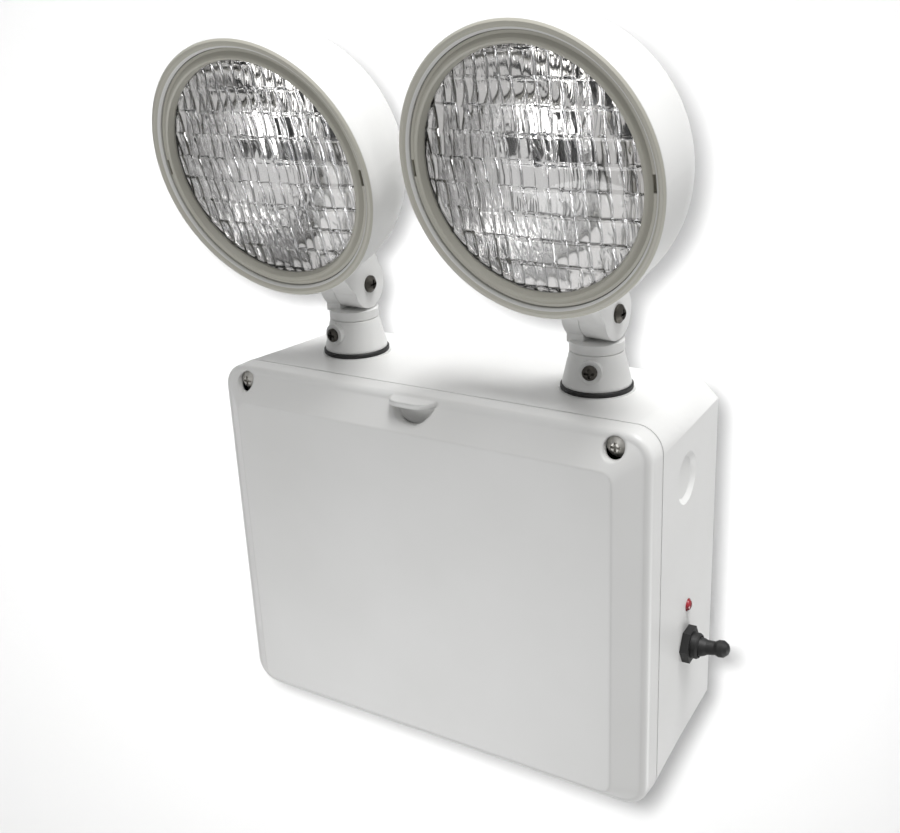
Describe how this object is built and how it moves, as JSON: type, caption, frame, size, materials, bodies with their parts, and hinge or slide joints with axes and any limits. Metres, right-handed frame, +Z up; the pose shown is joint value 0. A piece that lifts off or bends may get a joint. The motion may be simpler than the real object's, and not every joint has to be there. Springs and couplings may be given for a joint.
{
  "type": "emergency exit light",
  "caption": "Wall-mounted emergency light: moulded battery housing with a raised front cover, a test switch and round lamp heads on pan-and-tilt swivels.",
  "frame": {"origin": "on the wall plane, at the middle of the four wall-screw holes in the housing's back", "axes": "+X to the switch side, +Y into the wall, +Z up; the lamps face -Y"},
  "size_m": [0.2944, 0.1286, 0.3916],
  "materials": {
    "white_plastic": "moulded, fine satin",
    "black_rubber": "satin",
    "stainless_steel": "satin",
    "zinc_steel": "zinc plated",
    "clear_plastic": "clear, fluted behind",
    "reflector_metal": "bright",
    "bulb_glass": "clear",
    "black_plastic": "satin",
    "battery_plastic": "satin",
    "board_green": "lacquered",
    "bare_aluminium": "satin",
    "transformer_iron": "varnished",
    "red_plastic": "clear tinted"
  },
  "bodies": {
    "enclosure": {"housing": "white_plastic", "front_cover": "white_plastic", "cover_seal": "black_rubber", "cover_screws": "stainless_steel", "battery": "battery_plastic", "battery_strap": "zinc_steel", "circuit_board": "board_green", "board_screws": "zinc_steel", "terminal_block": "black_plastic", "heat_sink": "bare_aluminium", "capacitor": "black_plastic", "transformer": "transformer_iron", "indicator_lamp": "red_plastic", "switch_body": "black_plastic", "switch_nut": "black_rubber", "left_swivel_gasket": "black_rubber", "left_swivel_base": "white_plastic", "left_set_screw": "stainless_steel", "left_locknut": "zinc_steel", "right_swivel_gasket": "black_rubber", "right_swivel_base": "white_plastic", "right_set_screw": "stainless_steel", "right_locknut": "zinc_steel"},
    "toggle": {"toggle_boot": "black_rubber", "toggle_lever": "zinc_steel"},
    "left_swivel": {"left_swivel_neck": "white_plastic", "left_pivot_screw": "stainless_steel", "left_pivot_nut": "stainless_steel"},
    "left_head": {"left_head_shell": "white_plastic", "left_bezel": "white_plastic", "left_lens": "clear_plastic", "left_lens_seal": "black_rubber", "left_reflector": "reflector_metal", "left_bulb": "bulb_glass", "left_bulb_holder": "black_plastic"},
    "right_swivel": {"right_swivel_neck": "white_plastic", "right_pivot_screw": "stainless_steel", "right_pivot_nut": "stainless_steel"},
    "right_head": {"right_head_shell": "white_plastic", "right_bezel": "white_plastic", "right_lens": "clear_plastic", "right_lens_seal": "black_rubber", "right_reflector": "reflector_metal", "right_bulb": "bulb_glass", "right_bulb_holder": "black_plastic"}
  },
  "joints": [
    {"name": "left_pan", "type": "hinge", "parent": "enclosure", "child": "left_swivel", "pos_m": [-0.0762, -0.0412, 0.1425], "axis": [0, 0, 1], "range_deg": [-46, 4]},
    {"name": "left_tilt", "type": "hinge", "parent": "left_swivel", "child": "left_head", "pos_m": [-0.0762, -0.0412, 0.1425], "axis": [-0.9998, -0.0175, 0], "range_deg": [-41, 29]},
    {"name": "right_pan", "type": "hinge", "parent": "enclosure", "child": "right_swivel", "pos_m": [0.0762, -0.0412, 0.1425], "axis": [0, 0, 1], "range_deg": [-2, 48]},
    {"name": "right_tilt", "type": "hinge", "parent": "right_swivel", "child": "right_head", "pos_m": [0.0762, -0.0412, 0.1425], "axis": [-0.9986, 0.0523, 0], "range_deg": [-45, 25]},
    {"name": "test_toggle", "type": "hinge", "parent": "enclosure", "child": "toggle", "pos_m": [0.13624, -0.0416, -0.033], "axis": [-0.0487, 0.9988, 0], "range_deg": [0, 20], "stiffness_Nm_per_rad": 0.2}
  ]
}
